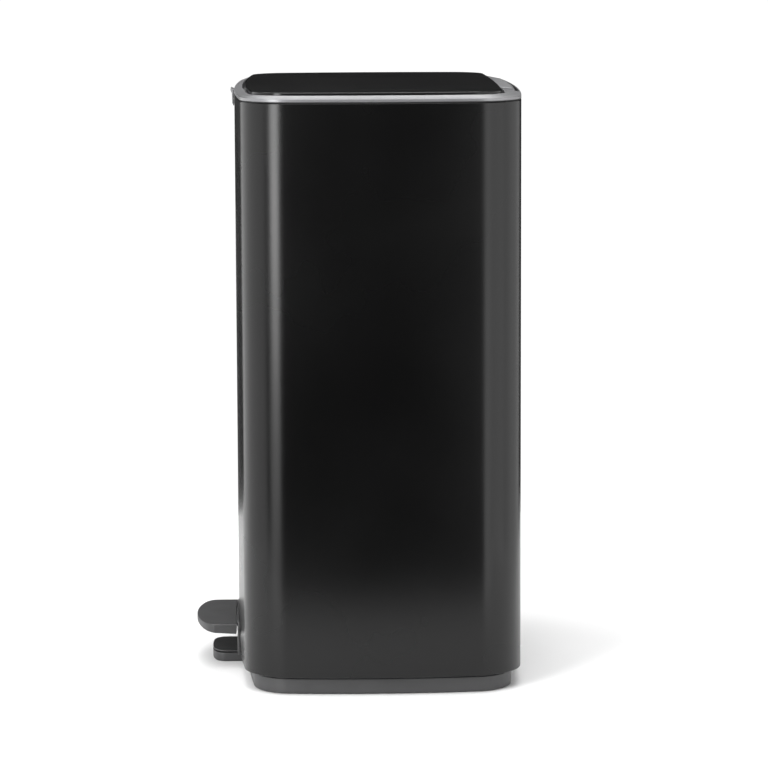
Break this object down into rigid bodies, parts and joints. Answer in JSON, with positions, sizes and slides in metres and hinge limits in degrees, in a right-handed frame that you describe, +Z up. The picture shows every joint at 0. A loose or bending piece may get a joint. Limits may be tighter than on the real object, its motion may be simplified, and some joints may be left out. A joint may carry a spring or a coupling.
{
  "type": "pedal trash can",
  "caption": "Flat rectangular pedal bin: black steel body on a plastic base, flush lid in a grey rim, foot pedal that lifts the lid through a lever and push rod, inner bucket.",
  "frame": {"origin": "on the floor, under the middle of the body", "axes": "+Z up, -Y is the front with the pedal, X runs along the width"},
  "size_m": [0.438, 0.3775, 0.6775],
  "materials": {
    "black_lacquer": "satin black lacquer on steel sheet",
    "lid_lacquer": "matte black lacquer on steel sheet",
    "gunmetal_plastic": "satin grey moulded plastic",
    "dark_plastic": "fine-grained dark grey moulded plastic",
    "black_plastic": "black moulded plastic",
    "bucket_plastic": "smooth grey moulded plastic",
    "rubber": "matte black rubber",
    "zinc_steel": "zinc-plated steel"
  },
  "bodies": {
    "bin": {"body_shell": "black_lacquer", "body_gasket": "rubber", "base_tray": "dark_plastic", "base_cover": "black_plastic", "cover_screws": "zinc_steel", "rubber_feet": "rubber", "front_foot": "dark_plastic", "front_foot_cap": "dark_plastic", "slot_bezel": "dark_plastic", "top_rim": "gunmetal_plastic", "front_tab": "gunmetal_plastic", "hinge_pins": "zinc_steel", "hinge_blocks": "black_plastic", "pivot_brackets": "zinc_steel", "bracket_screws": "zinc_steel", "pedal_axle": "zinc_steel", "rod_guides": "black_plastic", "damper_cylinder": "black_plastic", "damper_bracket": "zinc_steel", "inner_bucket": "bucket_plastic"},
    "lid": {"lid_panel": "lid_lacquer", "lid_frame": "gunmetal_plastic", "lid_liner": "black_plastic", "lid_bumpers": "rubber", "hinge_arm": "gunmetal_plastic", "hinge_bushes": "black_plastic", "lid_horn": "zinc_steel", "horn_pin": "zinc_steel"},
    "pedal": {"pedal_pad": "dark_plastic", "pad_screws": "zinc_steel", "pedal_arm": "zinc_steel", "pedal_lever": "zinc_steel", "pedal_hub": "black_plastic"},
    "rod": {"push_rod": "zinc_steel", "rod_head": "black_plastic", "rod_foot": "black_plastic", "damper_arm": "zinc_steel", "damper_piston": "zinc_steel"}
  },
  "joints": [
    {"name": "lid_hinge", "type": "hinge", "parent": "bin", "child": "lid", "pos_m": [0, 0.149, 0.666], "axis": [-1, 0, 0], "range_deg": [0, 80]},
    {"name": "pedal_pivot", "type": "hinge", "parent": "bin", "child": "pedal", "pos_m": [0, 0.012, 0.038], "axis": [1, 0, 0], "range_deg": [0, 7]},
    {"name": "rod_slide", "type": "slide", "parent": "bin", "child": "rod", "axis": [0, 0, 1], "range_m": [0, 0.01563]}
  ],
  "couplings": [
    {"joint": "pedal_pivot", "follows": "lid_hinge", "ratio": 0.087491},
    {"joint": "rod_slide", "follows": "lid_hinge", "m_per_rad": 0.011049}
  ]
}
